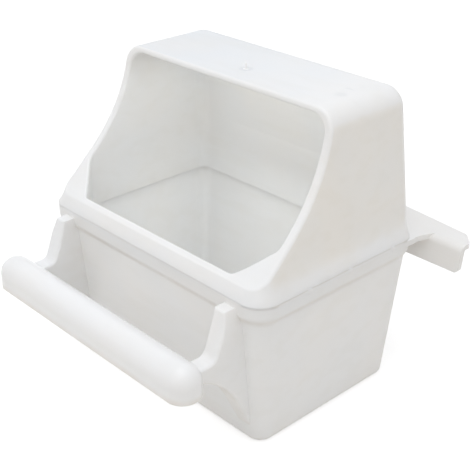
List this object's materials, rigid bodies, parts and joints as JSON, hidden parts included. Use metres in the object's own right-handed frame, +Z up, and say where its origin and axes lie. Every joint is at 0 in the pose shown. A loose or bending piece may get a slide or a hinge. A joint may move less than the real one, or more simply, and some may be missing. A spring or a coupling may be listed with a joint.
{
  "type": "splash-proof bird feeder",
  "caption": "Cage bird feeder: seed tub with a lift-off splash hood, a perch bar on two front brackets and a rear rail that hooks over a cage wire.",
  "frame": {"origin": "middle of the seed tub's flat bottom", "axes": "+Z up; -Y is the open front with the perch; +Y is the rear hanger rail; +X is along the width"},
  "size_m": [0.153, 0.1313, 0.1183],
  "materials": {
    "tub_plastic": "satin",
    "hood_plastic": "satin",
    "perch_plastic": "satin"
  },
  "bodies": {
    "tub": {"seed_tub": "tub_plastic", "perch_bar": "perch_plastic"},
    "hood": {"splash_hood": "hood_plastic"}
  },
  "joints": [
    {"name": "hood_lift", "type": "slide", "parent": "tub", "child": "hood", "axis": [0, 0, 1], "range_m": [0, 0.06]}
  ]
}
